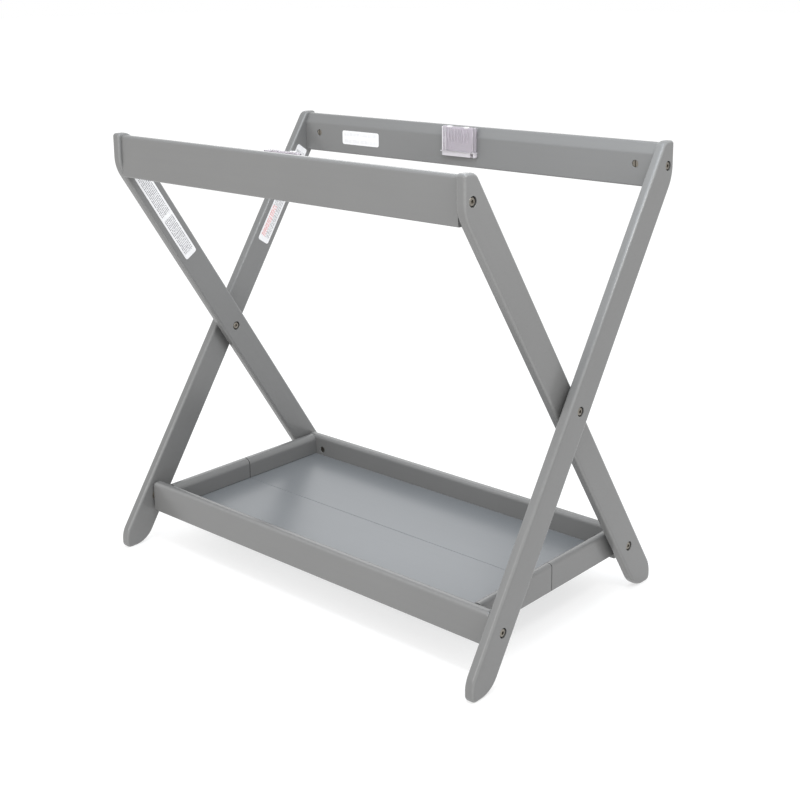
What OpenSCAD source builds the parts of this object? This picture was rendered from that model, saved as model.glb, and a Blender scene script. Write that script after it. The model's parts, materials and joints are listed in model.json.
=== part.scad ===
// Folding stand for a bassinet: two crossed leg frames, each with a top rail, and a storage tray
// in two halves. The legs fold scissor-fashion about the two crossing bolts, while the tray folds
// up along its middle. X runs along the rails, Y across them, Z up; the origin is on the floor.

/* [Stand] */
// Height of the leg tops above the floor
stand_h = 700; // [660:5:760]
// Length over the outer faces of the outer legs
stand_len = 760; // [700:5:860]
// Distance from the middle plane to the upright face of a leg head
head_y = 227; // [222:1:240]
// Distance from the middle plane to the upright face of a foot
foot_y = 237; // [232:1:242]

/* [Legs] */
// Lean of each leg from the vertical, in degrees
leg_lean = 33.2; // [33:0.1:34]
// Width of a leg board
leg_w = 49; // [45:0.5:50]
// Thickness of a leg board
leg_t = 16; // [14:0.5:18]
// Gap between an outer leg and the inner leg beside it
leg_gap = 6.5; // [5:0.5:10]
// Height at which the upright head turns into the leaning leg
kink_z = 646; // [640:1:650]
// Radius of the rounded long edges
leg_edge_r = 4.5; // [1:0.5:5]

/* [Top rails] */
// Height of a rail board
rail_h = 66; // [60:1:72]
// Thickness of a rail board
rail_t = 20; // [16:0.5:22]
// Drop of the rail top below the leg tops
rail_drop = 3; // [0:0.5:6]
// Setback of the rail face behind the upright face of the leg head
rail_setback = 5.5; // [4:0.5:10]
// Height of the sloping band along the top of the inner face
rail_bevel_h = 16; // [10:1:20]

/* [Tray] */
// Height of the two long tray boards
board_h = 50.5; // [46:0.5:52]
// Thickness of the two long tray boards
board_t = 16; // [14:0.5:18]
// Height of the bolts that carry the tray
pivot_z = 78; // [76:0.5:80]
// Distance from the middle plane to the bolts that carry the tray
pivot_y = 172.5; // [170:0.5:175]
// Thickness of the end boards
end_t = 17; // [14:0.5:18]
// Gap between an end board and the inner leg beside it
end_gap = 5.5; // [5:0.5:8]
// Height of the underside of the floor panels and end boards
floor_z = 60; // [59:0.5:62]
// Thickness of the floor panels
floor_t = 7.5; // [4:0.5:8]

/* [Brackets] */
// Width of a clear bassinet bracket
bracket_w = 66; // [60:1:72]
// Depth of a bracket, inward from its rail
bracket_d = 11; // [10.5:0.5:14]

/* [Fasteners] */
// Diameter of the bolt shanks
bolt_d = 6; // [5:0.5:6]
// Diameter of the round bolt heads
head_d = 12; // [10:0.5:13]
// Diameter of the recesses that the bolt heads sit in
recess_d = 14.5; // [13.5:0.5:16]
// Diameter of the barrel nuts
barrel_d = 10; // [9:0.5:11]
// Radial clearance of a hole that turns on a pin
run_gap = 0.05; // [0.03:0.01:0.08]

/* [Hidden] */
$fn = 48;

eps = 0.01;
cut = 1; // how far a cutting tool runs past the face it opens
outer_x = stand_len / 2;
outer_in_x = outer_x - leg_t;
inner_x = outer_in_x - leg_gap;
inner_in_x = inner_x - leg_t;

// Leg outline: the leaning edges are lines of slope 1 / tan(leg_lean)
slope = tan(leg_lean);
leg_slant_w = leg_w / cos(leg_lean);
function lower_edge_y(z) = -head_y + (kink_z - z) * slope;
function upper_edge_y(z) = lower_edge_y(z) + leg_slant_w;
foot_kink_z = (upper_edge_y(0) - foot_y) / slope;
crossing_z = kink_z - (head_y - leg_slant_w / 2) / slope;
kink_r = 60;
heel_r = 42;
toe_r = 9;
shin_r = 40;
head_back_r = 16;
corner_r = 4;

// Rails
rail_top_z = stand_h - rail_drop;
rail_face_y = head_y - rail_setback;
rail_in_y = rail_face_y - rail_t;
rail_mid_y = rail_face_y - rail_t / 2;
rail_mid_z = rail_top_z - rail_h / 2;
barrel_inset = 34; // from a rail's end to its barrel nut
barrel_len = 13;
barrel_sink = 1; // from the rail or board face down to the nut
barrel_gap = 0.4; // between the nut and its hole
barrel_slot_w = 1.6;
barrel_slot_depth = 1.5;
bolt_past = 7; // bolt end beyond the barrel nut's middle
rail_dowel_d = 8;
rail_dowel_len = 30;
rail_dowel_drop = 20;

// Bolt heads
head_h = 3;
head_sink = 1.2; // from the leg face down to the head
socket_af = 4.5;
socket_depth = 2.2;
sleeve_d = 9;
head_gap = 0.1; // axial play under the head of a bolt that turns
sleeve_wall = 4; // solid end of the sleeve nut beyond the bolt
spacer_d = 24;
washer_d = 18;

// Tray
board_z = pivot_z - board_h / 2;
board_out_y = pivot_y + board_t / 2;
board_in_y = pivot_y - board_t / 2;
front_board_x = outer_in_x - 2;
rear_board_x = inner_in_x - 1.5;
end_x = inner_in_x - end_gap;
end_in_x = end_x - end_t;
end_top_z = board_z + board_h - 0.5;
end_mid_x = end_x - end_t / 2;
seam = 0.25; // half of the gap between the two tray halves
groove = 6; // depth of the floor panel's groove and rabbet
tray_barrel_x = 303;
dowel_d = 6;
dowel_into_board = 10;
dowel_into_end = 14;
dowel_zs = [floor_z + floor_t + 3.75, floor_z + 31.5]; // below and above the bolt
front_washer_t = 1.9;
rear_washer_t = 1.2;
board_corner_r = 5;

// Tray hinges
hinge_xs = [-200, 0, 200];
leaf_len = 60;
leaf_w = 26;
leaf_t = 1.5;
knuckle_r = 2.8;
hinge_pin_d = 3;
hinge_z = floor_z - 3; // axis of the pins
knuckle_len = leaf_len / 3;
knuckle_play = 0.1;
leaf_back = 3.2; // where a leaf stops beside the other leaf's knuckle
leaf_reach = 1; // where a leaf meets its own knuckle
hinge_screw_xs = [-20, 20];
hinge_screw_y = 18;
hinge_screw_len = leaf_t + floor_t - 1.5;
screw_d = 3;
screw_head_d = 6;
screw_head_h = 1;
drive_len = 3.6; // arms of the cross drive in a screw head
drive_w = 0.8;

// Brackets
wall = 2.5;
flange_w = bracket_w + 10;
flange_h = 9;
flange_lip = 2;
lip_d = 8.5; // of the ledge between the box and the flange, inward from the rail
flange_r = 3;
base_inset = 2; // of the block under the pocket, behind the lip
pocket_floor = 1;
bracket_bottom_z = 647.5;
rib_count = 7;
rib_w = 2;
rib_proud = 1;
rib_inset = 8; // from the side of the bracket to its first rib
rib_margin = 2; // from the top and the bottom of the box to the rib ends
bracket_rise = 1; // from the rail top up to the bracket top
bracket_screw_len = 12; // into the rail
bracket_screw = [[27, bracket_bottom_z + flange_h / 2], [0, bracket_bottom_z + 26]];

// Labels
label_t = 0.3;
leg_label_w = 26;
inner_label_len = 180;
inner_label_z = 560; // height of its middle
outer_label_len = 190;
outer_label_z = 557;
rail_label_size = [87, 24];
rail_label_x = -228;
rail_label_z = rail_mid_z - 4;
label_r = 4;

// ---------------------------------------------------------------- outlines

// Arc points that round the corner p (radius p.z) between its neighbours a and b
function unit(v) = v / norm(v);
function corner_arc(a, p, b, n = 10) =
    let (q = [p.x, p.y],
         u = unit([a.x, a.y] - q),
         v = unit([b.x, b.y] - q),
         half = acos(u * v) / 2,
         centre = q + unit(u + v) * p.z / sin(half),
         start = q + u * p.z / tan(half) - centre,
         stop = q + v * p.z / tan(half) - centre,
         a0 = atan2(start.y, start.x),
         turn = (atan2(stop.y, stop.x) - a0 + 540) % 360 - 180)
    p.z == 0 ? [q] : [for (i = [0 : n]) centre + p.z * [cos(a0 + turn * i / n), sin(a0 + turn * i / n)]];

// Outline through corners given as [x, y, radius]
function rounded(c) =
    [for (i = [0 : len(c) - 1]) each corner_arc(c[(i + len(c) - 1) % len(c)], c[i], c[(i + 1) % len(c)])];

leg_corners = [
    [-head_y, stand_h, corner_r],
    [-head_y, kink_z, kink_r],
    [lower_edge_y(0), 0, heel_r],
    [foot_y, 0, toe_r],
    [foot_y, foot_kink_z, shin_r],
    [upper_edge_y(stand_h), stand_h, head_back_r]];

rail_corners = [
    [0, 0, 3],
    [rail_t, 0, 3],
    [rail_t, rail_h - rail_bevel_h, 6],
    [rail_t / 2 + 1, rail_h, 5],
    [0, rail_h, 5]];

long_board_corners = [
    [0, 0, 2],
    [board_t, 0, 2],
    [board_t, board_h, 6],
    [0, board_h, 6]];

end_board_corners = [
    [0, 0, 0],
    [end_t, 0, 1.5],
    [end_t, end_top_z - floor_z, 5],
    [0, end_top_z - floor_z, 11]];

function plate_corners(w, h, r) =
    [[-w / 2, -h / 2, r], [w / 2, -h / 2, r], [w / 2, h / 2, r], [-w / 2, h / 2, r]];

// ---------------------------------------------------------------- shared shapes

// Stands a YZ outline up and runs it along X from x0 for len
module along_x(x0, len) {
    translate([x0, 0, 0])
        rotate([90, 0, 90])
            linear_extrude(len)
                children();
}

// Runs an XZ outline along +Y from y0 for len
module along_y(y0, len) {
    translate([0, y0 + len, 0])
        rotate([90, 0, 0])
            linear_extrude(len)
                children();
}

// Cylinder along X from x0 to x1
module rod_x(d, x0, x1, y, z) {
    translate([min(x0, x1), y, z])
        rotate([0, 90, 0])
            cylinder(d = d, h = abs(x1 - x0));
}

// Cylinder along Y from y0 to y1
module rod_y(d, y0, y1, x, z) {
    translate([x, max(y0, y1), z])
        rotate([90, 0, 0])
            cylinder(d = d, h = abs(y1 - y0));
}

// A shape modelled at the right, also at the left
module both_sides() {
    children();
    at_left() children();
}

module at_left() {
    mirror([1, 0, 0]) children();
}

// A shape modelled at the front (-Y), at the rear
module at_rear() {
    mirror([0, 1, 0]) children();
}

// Bar with a hollow quarter round, which leaves a rounded edge of radius r along the line a to b
module edge_cutter(a, b, r) {
    length = norm(b - a);
    translate([0, a.x, a.y])
        rotate([atan2(b.y - a.y, b.x - a.x), 0, 0])
            translate([-r, 0, 0])
                rotate([-90, 0, 0])
                    difference() {
                        translate([0, -r, 0])
                            cube([r + cut, r + cut, length]);
                        translate([0, -r, -cut])
                            cylinder(r = r, h = length + 2 * cut);
                    }
}

// One leg board, leaning from its head at -Y to its foot at +Y, with faces at x = 0 and x = leg_t
module leg_board() {
    count = len(leg_corners);
    difference() {
        along_x(0, leg_t)
            polygon(rounded(leg_corners));
        for (i = [0 : count - 1]) {
            a = [leg_corners[i].x, leg_corners[i].y];
            b = [leg_corners[(i + 1) % count].x, leg_corners[(i + 1) % count].y];
            translate([leg_t, 0, 0])
                edge_cutter(b, a, leg_edge_r);
            mirror([1, 0, 0])
                edge_cutter(b, a, leg_edge_r);
        }
    }
}

// Bolt lying along X: head sunk in the leg face at x_face, which looks to larger x, shank to x_end
module socket_bolt(x_face, x_end, y, z, gap = 0) {
    top = x_face - head_sink + gap;
    difference() {
        union() {
            rod_x(head_d, top - head_h, top, y, z);
            rod_x(bolt_d, top - head_h + eps, x_end, y, z);
        }
        translate([top - socket_depth, y, z])
            rotate([0, 90, 0])
                cylinder(d = socket_af / cos(30), h = socket_depth + cut, $fn = 6);
    }
}

// Recess for a bolt head in the leg face at x_face; the face looks to larger x if out is 1
module head_recess(x_face, y, z, out = 1) {
    rod_x(recess_d, x_face - out * (head_h + head_sink), x_face + out * cut, y, z);
}

// Barrel nut in the face at y_face of a board at -Y: slotted at that end, with its bolt hole along X
module barrel_nut(x, y_face, y_bolt, z) {
    end_y = -y_face - barrel_sink;
    difference() {
        rod_y(barrel_d, end_y, end_y - barrel_len, x, z);
        rod_x(bolt_d, x - barrel_d, x + barrel_d, y_bolt, z);
        translate([x - barrel_slot_w / 2, end_y - barrel_slot_depth, z - barrel_d])
            cube([barrel_slot_w, barrel_slot_depth + cut, 2 * barrel_d]);
    }
}

module barrel_hole(x, y_face, z) {
    rod_y(barrel_d + 2 * barrel_gap, -y_face + cut, -y_face - barrel_sink - barrel_len, x, z);
}

// ---------------------------------------------------------------- leg frames

// Outer legs lean from a head at +Y to a foot at -Y and carry the front half of the tray
module outer_leg() {
    difference() {
        translate([outer_in_x, 0, 0])
            at_rear() leg_board();
        rod_x(bolt_d, outer_in_x - cut, outer_x + cut, rail_mid_y, rail_mid_z);
        rod_x(sleeve_d, outer_in_x - cut, outer_x + cut, 0, crossing_z);
        rod_x(bolt_d + 2 * run_gap, outer_in_x - cut, outer_x + cut, -pivot_y, pivot_z);
        head_recess(outer_x, rail_mid_y, rail_mid_z);
        head_recess(outer_x, 0, crossing_z);
        head_recess(outer_x, -pivot_y, pivot_z);
    }
}

module outer_leg_left() {
    color("darkgray") at_left() outer_leg();
}

module outer_leg_right() {
    color("darkgray") outer_leg();
}

// Inner legs lean from a head at -Y to a foot at +Y and carry the rear half of the tray
module inner_leg() {
    difference() {
        translate([inner_in_x, 0, 0])
            leg_board();
        rod_x(bolt_d, inner_in_x - cut, inner_x + cut, -rail_mid_y, rail_mid_z);
        rod_x(sleeve_d + 2 * run_gap, inner_in_x - cut, inner_x + cut, 0, crossing_z);
        rod_x(bolt_d, inner_in_x - cut, inner_x + cut, pivot_y, pivot_z);
        head_recess(inner_x, -rail_mid_y, rail_mid_z);
        head_recess(inner_in_x, 0, crossing_z, -1);
        head_recess(inner_x, pivot_y, pivot_z);
    }
}

module inner_leg_left() {
    color("darkgray") at_left() inner_leg();
}

module inner_leg_right() {
    color("darkgray") inner_leg();
}

// Rail at -Y between two leg faces at +-half_x, with its bevel on the inner side
module rail(half_x) {
    barrel_x = half_x - barrel_inset;
    difference() {
        along_x(-half_x, 2 * half_x)
            translate([-rail_face_y, rail_top_z - rail_h])
                polygon(rounded(rail_corners));
        both_sides() {
            rod_x(bolt_d, barrel_x - bolt_past, half_x + cut, -rail_mid_y, rail_mid_z);
            barrel_hole(barrel_x, rail_in_y, rail_mid_z);
            rail_dowel(half_x);
        }
        bracket_screw_shanks();
    }
}

module rail_dowel(half_x) {
    rod_x(rail_dowel_d, half_x - rail_dowel_len, half_x, -rail_mid_y, rail_mid_z - rail_dowel_drop);
}

module rail_bolts(face_x, half_x) {
    both_sides()
        socket_bolt(face_x, half_x - barrel_inset - bolt_past, -rail_mid_y, rail_mid_z);
}

module rail_barrel_nuts(half_x) {
    both_sides()
        barrel_nut(half_x - barrel_inset, rail_in_y, -rail_mid_y, rail_mid_z);
}

module front_rail() {
    color("darkgray") rail(inner_in_x);
}

module rear_rail() {
    color("darkgray") at_rear() rail(outer_in_x);
}

module front_rail_bolts() {
    color("silver") rail_bolts(inner_x, inner_in_x);
}

module rear_rail_bolts() {
    color("silver") at_rear() rail_bolts(outer_x, outer_in_x);
}

module front_rail_barrel_nuts() {
    color("silver") rail_barrel_nuts(inner_in_x);
}

module rear_rail_barrel_nuts() {
    color("silver") at_rear() rail_barrel_nuts(outer_in_x);
}

module front_rail_dowels() {
    color("burlywood") both_sides() rail_dowel(inner_in_x);
}

module rear_rail_dowels() {
    color("burlywood") at_rear() both_sides() rail_dowel(outer_in_x);
}

// ---------------------------------------------------------------- crossing

// Bolt from the outer face, inside the sleeve nut
module crossing_bolts() {
    color("silver") both_sides()
        socket_bolt(outer_x, inner_in_x + head_sink - head_gap + head_h + sleeve_wall, 0, crossing_z);
}

// Sleeve nut from the inner face: its sleeve is the pin that the inner leg turns on
module crossing_sleeve_nuts() {
    flange_x = inner_in_x + head_sink - head_gap;
    color("silver") both_sides()
        difference() {
            union() {
                rod_x(head_d, flange_x, flange_x + head_h, 0, crossing_z);
                rod_x(sleeve_d, flange_x + head_h - eps, outer_x - head_sink - head_h, 0, crossing_z);
            }
            rod_x(bolt_d, flange_x + head_h + sleeve_wall, outer_x + cut, 0, crossing_z);
            translate([flange_x - cut, 0, crossing_z])
                rotate([0, 90, 0])
                    cylinder(d = socket_af / cos(30), h = socket_depth + cut, $fn = 6);
        }
}

module crossing_spacers() {
    color("dimgray") both_sides()
        difference() {
            rod_x(spacer_d, inner_x + head_gap, outer_in_x, 0, crossing_z);
            rod_x(sleeve_d, inner_x, outer_in_x + cut, 0, crossing_z);
        }
}

// ---------------------------------------------------------------- brackets

// Clear bracket on the inner face of the rail at -Y: a pocket open at the top, ribs and a foot flange
module bracket() {
    top_z = rail_top_z + bracket_rise;
    box_z = bracket_bottom_z + flange_h;
    rib_pitch = (bracket_w - 2 * rib_inset - rib_w) / (rib_count - 1);
    difference() {
        union() {
            translate([-bracket_w / 2, -rail_in_y, box_z - eps])
                cube([bracket_w, bracket_d - rib_proud, top_z - box_z]);
            translate([0, 0, bracket_bottom_z + flange_h / 2])
                along_y(-rail_in_y, wall)
                    polygon(rounded(plate_corners(flange_w, flange_h, flange_r)));
            translate([-bracket_w / 2 + base_inset, -rail_in_y, bracket_bottom_z + base_inset])
                cube([bracket_w - 2 * base_inset, lip_d - base_inset, flange_h - base_inset]);
            for (i = [0 : rib_count - 1])
                translate([-bracket_w / 2 + rib_inset + i * rib_pitch,
                           -rail_in_y + bracket_d - rib_proud - eps, box_z + rib_margin])
                    cube([rib_w, rib_proud, top_z - box_z - 2 * rib_margin]);
            translate([-flange_w / 2, -rail_in_y, box_z - flange_lip])
                cube([flange_w, lip_d, flange_lip]);
        }
        translate([-bracket_w / 2 + wall, -rail_in_y + wall, box_z + pocket_floor])
            cube([bracket_w - 2 * wall, bracket_d - rib_proud - 2 * wall, rail_h]);
        bracket_screw_shanks();
        bracket_screw_heads();
    }
}

// The flange screw is driven from the bracket's face and the other from inside the pocket
module bracket_screw_shanks() {
    for (s = bracket_screw)
        rod_y(screw_d, -rail_in_y + wall, -rail_in_y - bracket_screw_len, s.x, s.y);
}

module bracket_screw_heads() {
    rod_y(screw_head_d, -rail_in_y + wall - screw_head_h, -rail_in_y + bracket_d + cut,
        bracket_screw[0].x, bracket_screw[0].y);
    rod_y(screw_head_d, -rail_in_y + wall - screw_head_h, -rail_in_y + wall + cut,
        bracket_screw[1].x, bracket_screw[1].y);
}

module bracket_screws() {
    for (s = bracket_screw)
        difference() {
            union() {
                rod_y(screw_d, -rail_in_y + wall - eps, -rail_in_y - bracket_screw_len, s.x, s.y);
                rod_y(screw_head_d, -rail_in_y + wall - screw_head_h, -rail_in_y + wall, s.x, s.y);
            }
            for (turn = [0, 90])
                translate([s.x, -rail_in_y + wall, s.y])
                    rotate([0, turn, 0])
                        cube([drive_len, screw_head_h, drive_w], center = true);
        }
}

module front_bracket() {
    color("whitesmoke", 0.5) bracket();
}

module rear_bracket() {
    color("whitesmoke", 0.5) at_rear() bracket();
}

module front_bracket_screws() {
    color("dimgray") bracket_screws();
}

module rear_bracket_screws() {
    color("dimgray") at_rear() bracket_screws();
}

// ---------------------------------------------------------------- labels

// Plain label on the inner face of a left leg whose head is at -Y
module leg_label_plate(face_x, len, mid_z) {
    mid_y = lower_edge_y(mid_z) + leg_slant_w / 2;
    translate([face_x, mid_y, mid_z])
        rotate([leg_lean, 0, 0])
            along_x(0, label_t)
                polygon(rounded(plate_corners(leg_label_w, len, label_r)));
}

module inner_leg_label() {
    color("white") leg_label_plate(-inner_in_x, inner_label_len, inner_label_z);
}

module outer_leg_label() {
    color("white") at_rear() leg_label_plate(-outer_in_x, outer_label_len, outer_label_z);
}

module rail_label() {
    color("white")
        translate([rail_label_x, 0, rail_label_z])
            along_y(rail_in_y - label_t, label_t)
                polygon(rounded(plate_corners(rail_label_size.x, rail_label_size.y, label_r)));
}

// ---------------------------------------------------------------- tray

// Long board at -Y, from -half_x to half_x, with the floor groove and the bolt and dowel holes
module long_board(half_x) {
    difference() {
        intersection() {
            along_x(-half_x, 2 * half_x)
                translate([-board_out_y, board_z])
                    polygon(rounded(long_board_corners));
            translate([0, 0, pivot_z])
                along_y(-board_out_y - cut, board_t + 2 * cut)
                    polygon(rounded(plate_corners(2 * half_x, board_h + 2 * eps, board_corner_r)));
        }
        translate([-end_in_x - groove, -board_in_y - groove, floor_z])
            cube([2 * (end_in_x + groove), groove + cut, floor_t]);
        both_sides() {
            rod_x(bolt_d, tray_barrel_x - bolt_past, half_x + cut, -pivot_y, pivot_z);
            barrel_hole(tray_barrel_x, board_in_y, pivot_z);
            tray_dowels();
        }
    }
}

// Half of an end board at +X, running from the long board at -Y to the seam
module end_board() {
    difference() {
        along_y(-board_in_y, board_in_y - seam)
            translate([end_in_x, floor_z])
                polygon(rounded(end_board_corners));
        translate([end_in_x - cut, -board_in_y - cut, floor_z - cut])
            cube([groove + cut, board_in_y + 2 * cut, floor_t + cut]);
        tray_dowels();
    }
}

module tray_dowels() {
    for (z = dowel_zs)
        rod_y(dowel_d, -board_in_y - dowel_into_board, -board_in_y + dowel_into_end, end_mid_x, z);
}

module floor_panel() {
    difference() {
        translate([-end_in_x - groove, -board_in_y - groove, floor_z])
            cube([2 * (end_in_x + groove), board_in_y + groove - seam, floor_t]);
        hinge_screw_shanks();
    }
}

module tray_front_board() {
    color("darkgray") long_board(front_board_x);
}

module tray_rear_board() {
    color("darkgray") at_rear() long_board(rear_board_x);
}

module tray_front_end_left() {
    color("darkgray") at_left() end_board();
}

module tray_front_end_right() {
    color("darkgray") end_board();
}

module tray_rear_end_left() {
    color("darkgray") at_rear() at_left() end_board();
}

module tray_rear_end_right() {
    color("darkgray") at_rear() end_board();
}

module tray_front_floor() {
    color("lightsteelblue") floor_panel();
}

module tray_rear_floor() {
    color("lightsteelblue") at_rear() floor_panel();
}

module tray_front_dowels() {
    color("burlywood") both_sides() tray_dowels();
}

module tray_rear_dowels() {
    color("burlywood") at_rear() both_sides() tray_dowels();
}

// The front bolts are screwed into the board and turn in the outer legs
module tray_front_bolts() {
    color("silver") both_sides()
        socket_bolt(outer_x, tray_barrel_x - bolt_past, -pivot_y, pivot_z, head_gap);
}

module tray_front_washers() {
    color("silver") both_sides()
        difference() {
            rod_x(washer_d, front_board_x, front_board_x + front_washer_t, -pivot_y, pivot_z);
            rod_x(bolt_d, front_board_x - cut, outer_in_x, -pivot_y, pivot_z);
        }
}

// The rear bolts stop at the inner face of the inner legs, where the linkage is opened
module tray_rear_bolts() {
    color("silver") both_sides()
        socket_bolt(inner_x, inner_in_x, pivot_y, pivot_z);
}

module tray_rear_washers() {
    color("silver") both_sides()
        rod_x(washer_d, inner_in_x - rear_washer_t, inner_in_x, pivot_y, pivot_z);
}

module tray_barrel_nuts() {
    both_sides()
        barrel_nut(tray_barrel_x, board_in_y, -pivot_y, pivot_z);
}

module tray_front_barrel_nuts() {
    color("silver") tray_barrel_nuts();
}

module tray_rear_barrel_nuts() {
    color("silver") at_rear() tray_barrel_nuts();
}

// ---------------------------------------------------------------- hinges

// One leaf at -Y under the floor panel; spans lists its knuckles as [x0, x1] about the hinge middle
module hinge_leaf(spans, bore_d) {
    difference() {
        union() {
            translate([-leaf_len / 2, -leaf_w, floor_z - leaf_t])
                cube([leaf_len, leaf_w - leaf_back, leaf_t]);
            for (s = spans) {
                translate([s[0], -leaf_back - eps, floor_z - leaf_t])
                    cube([s[1] - s[0], leaf_back - leaf_reach, leaf_t]);
                rod_x(2 * knuckle_r, s[0], s[1], 0, hinge_z);
            }
        }
        rod_x(bore_d, -leaf_len, leaf_len, 0, hinge_z);
        for (x = hinge_screw_xs)
            translate([x, -hinge_screw_y, floor_z - 2 * leaf_t])
                cylinder(d = screw_d, h = 3 * leaf_t);
    }
}

module hinge_screw_shanks() {
    for (hx = hinge_xs, x = hinge_screw_xs)
        translate([hx + x, -hinge_screw_y, floor_z - leaf_t - cut])
            cylinder(d = screw_d, h = hinge_screw_len + cut);
}

module hinge_screws() {
    for (hx = hinge_xs, x = hinge_screw_xs)
        translate([hx + x, -hinge_screw_y, floor_z - leaf_t - screw_head_h])
            difference() {
                union() {
                    cylinder(d = screw_head_d, h = screw_head_h);
                    cylinder(d = screw_d, h = screw_head_h + hinge_screw_len);
                }
                for (turn = [0, 90])
                    rotate([0, 0, turn])
                        cube([drive_len, drive_w, screw_head_h], center = true);
            }
}

module hinge_front_leaves() {
    knuckle_x = knuckle_len / 2 + knuckle_play;
    outer_spans = [[-leaf_len / 2, -knuckle_x], [knuckle_x, leaf_len / 2]];
    color("silver")
        for (hx = hinge_xs)
            translate([hx, 0, 0])
                hinge_leaf(outer_spans, hinge_pin_d);
}

module hinge_rear_leaves() {
    color("silver")
        for (hx = hinge_xs)
            translate([hx, 0, 0])
                at_rear() hinge_leaf([[-knuckle_len / 2, knuckle_len / 2]], hinge_pin_d + 2 * run_gap);
}

module hinge_pins() {
    color("silver")
        for (hx = hinge_xs)
            rod_x(hinge_pin_d, hx - leaf_len / 2, hx + leaf_len / 2, 0, hinge_z);
}

module hinge_front_screws() {
    color("silver") hinge_screws();
}

module hinge_rear_screws() {
    color("silver") at_rear() hinge_screws();
}

// ---------------------------------------------------------------- nodes

outer_leg_left();
outer_leg_right();
rear_rail();
rear_rail_bolts();
rear_rail_barrel_nuts();
rear_rail_dowels();
rear_bracket();
rear_bracket_screws();
crossing_bolts();
crossing_sleeve_nuts();
crossing_spacers();
outer_leg_label();
rail_label();
inner_leg_left();
inner_leg_right();
front_rail();
front_rail_bolts();
front_rail_barrel_nuts();
front_rail_dowels();
front_bracket();
front_bracket_screws();
inner_leg_label();
tray_rear_bolts();
tray_rear_washers();
tray_front_board();
tray_front_end_left();
tray_front_end_right();
tray_front_floor();
tray_front_dowels();
tray_front_bolts();
tray_front_washers();
tray_front_barrel_nuts();
hinge_front_leaves();
hinge_front_screws();
hinge_pins();
tray_rear_board();
tray_rear_end_left();
tray_rear_end_right();
tray_rear_floor();
tray_rear_dowels();
tray_rear_barrel_nuts();
hinge_rear_leaves();
hinge_rear_screws();
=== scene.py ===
"""Looks of the folding bassinet stand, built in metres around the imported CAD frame."""

import json
import math
import random

import bmesh
import bpy
from mathutils import Matrix, Vector
from mathutils.geometry import tessellate_polygon


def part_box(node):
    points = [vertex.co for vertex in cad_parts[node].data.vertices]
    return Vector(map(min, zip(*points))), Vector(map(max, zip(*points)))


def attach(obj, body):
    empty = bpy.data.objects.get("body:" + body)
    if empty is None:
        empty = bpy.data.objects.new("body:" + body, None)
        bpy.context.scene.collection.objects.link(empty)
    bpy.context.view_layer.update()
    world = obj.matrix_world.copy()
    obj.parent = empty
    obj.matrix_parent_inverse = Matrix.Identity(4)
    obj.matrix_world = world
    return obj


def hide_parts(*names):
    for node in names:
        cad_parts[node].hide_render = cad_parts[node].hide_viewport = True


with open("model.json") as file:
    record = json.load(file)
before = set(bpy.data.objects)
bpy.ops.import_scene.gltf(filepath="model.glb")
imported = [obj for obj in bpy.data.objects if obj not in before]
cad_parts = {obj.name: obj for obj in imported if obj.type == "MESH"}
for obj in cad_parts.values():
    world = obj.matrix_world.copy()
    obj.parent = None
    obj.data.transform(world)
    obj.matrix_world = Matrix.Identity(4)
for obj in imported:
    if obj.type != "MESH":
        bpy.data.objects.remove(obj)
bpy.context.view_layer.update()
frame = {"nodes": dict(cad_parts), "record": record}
mm = 0.001

# ------------------------------------------------------------------ sizes

HEAD_Y = 227 * mm
FOOT_Y = 237 * mm
KINK_Z = 646 * mm
LEAN = math.radians(33.2)
LEG_W = 49 * mm
LEG_EDGE = 4.6 * mm
LEG_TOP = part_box("inner_leg_right")[1].z

RECESS_R = 7.25 * mm
RECESS_DEPTH = 4.2 * mm
RECESS_RIM = 0.5 * mm
HEAD_R = 6 * mm
HEAD_H = 3 * mm
HEAD_DOME = ((0.80, 0.10), (0.90, 0.35), (0.97, 0.85), (1.0, 1.5))  # share of HEAD_R, mm below the top
SHANK_R = 3 * mm
SLEEVE_R = 4.5 * mm
SOCKET_APOTHEM = 2.25 * mm
SOCKET_DEPTH = 2.2 * mm
BARREL_HOLE_R = 5.4 * mm
RAIL_HOLE_DEPTH = 14 * mm
TRAY_HOLE_DEPTH = 13 * mm

RAIL_BEVEL_H = 16 * mm
FLOOR_GROOVE = 6 * mm
SEAM_EDGE = 1.3 * mm
SQUARE_EDGE = 0.2 * mm

BRACKET_W = 66 * mm
BRACKET_WALL = 2.4 * mm
SIDE_WALL = 1.8 * mm
FLANGE_H = 9 * mm
LEDGE_D = 8.5 * mm
LEDGE_T = 2 * mm
RIB_PROUD = 1 * mm
RIB_W = 1.6 * mm
RIB_STEP = 6.4 * mm
RIB_COUNT = 7
SCREW_HEAD_R = 3 * mm

LABEL_R = 4 * mm
LEG_LABEL_W = 26 * mm
INNER_LABEL_L = 180 * mm
OUTER_LABEL_L = 190 * mm
RAIL_LABEL_L = 87 * mm

ARC_STEPS = 8
RIM_STEPS = 5
HOLE_RIM_STEPS = 3
CIRCLE = 48

pattern = random.Random(225)  # gives each board its own stretch of grain


# ------------------------------------------------------------------ outlines


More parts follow.
